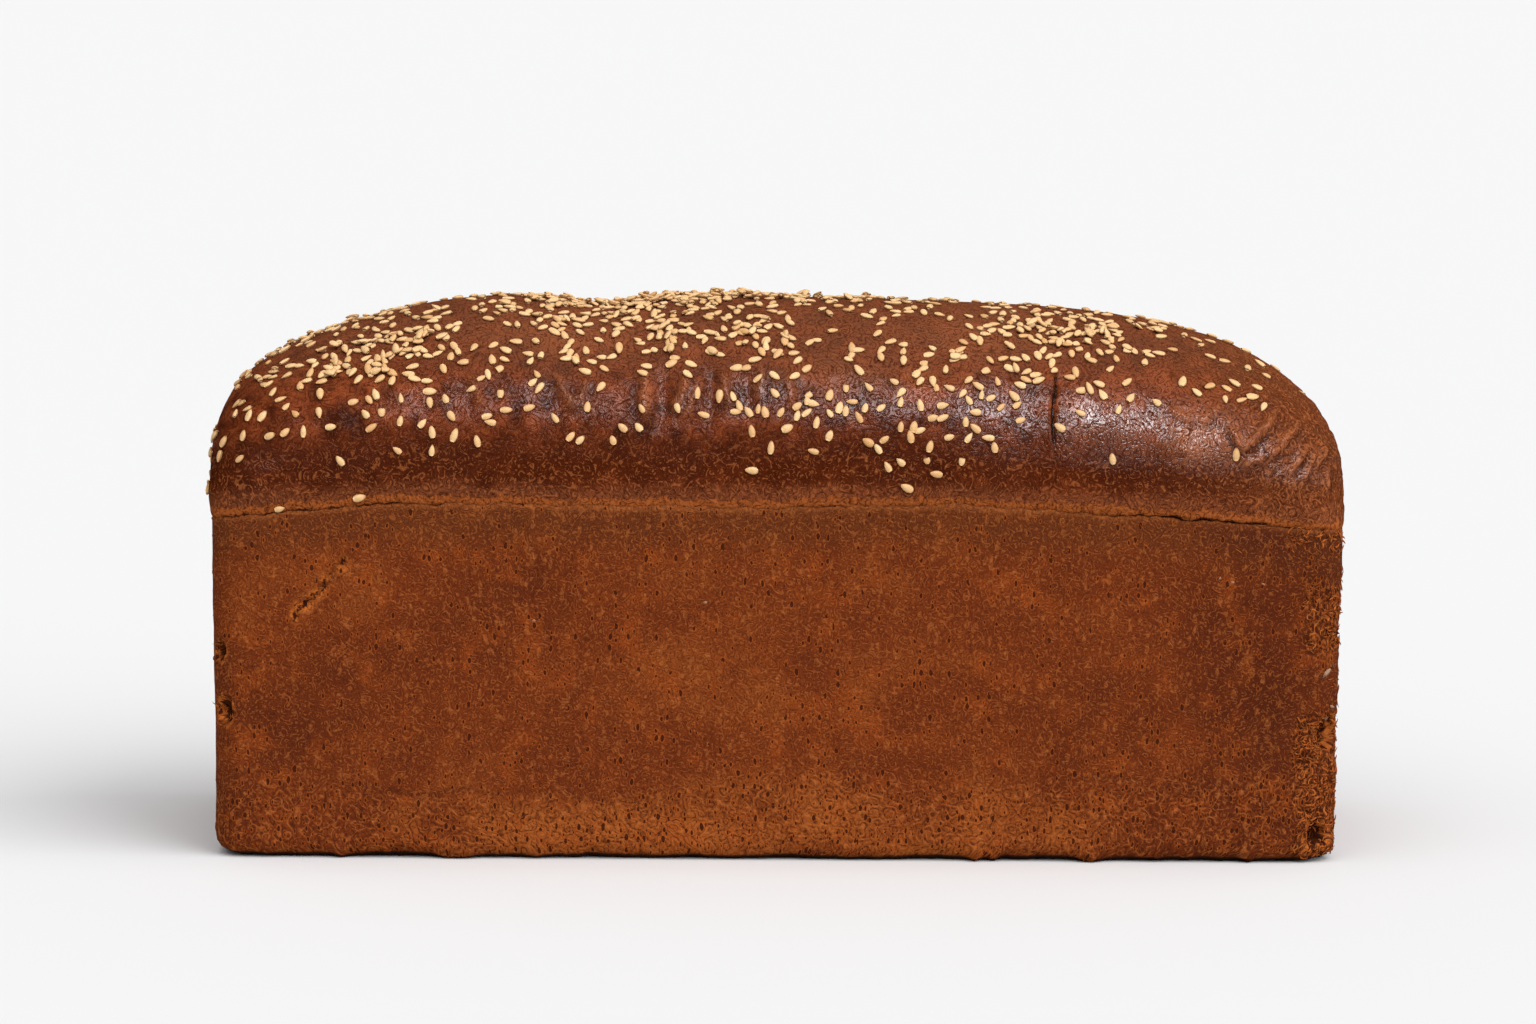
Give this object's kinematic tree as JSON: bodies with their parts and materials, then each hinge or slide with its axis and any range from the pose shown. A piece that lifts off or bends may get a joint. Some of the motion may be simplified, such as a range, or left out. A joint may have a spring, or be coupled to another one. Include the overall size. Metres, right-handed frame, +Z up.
{
  "type": "brioche loaf",
  "caption": "Long tin loaf of enriched bread with flat baked sides, a domed glazed crown that hangs a little over them, and sesame seeds strewn on the crown.",
  "frame": {"origin": "middle of the flat base, on the surface that the loaf stands on", "axes": "+Z up, +X along the loaf, -Y the long side with the tear and the torn corners"},
  "size_m": [0.3336, 0.1049, 0.1631],
  "materials": {
    "wall_crust": "matt browned crust with a fine curly grain and open pores",
    "crown_crust": "dark egg-glazed crust, softly glossy",
    "sesame_seed": "pale toasted seed, satin"
  },
  "bodies": {
    "root": {"loaf": "wall_crust"}
  },
  "joints": []
}
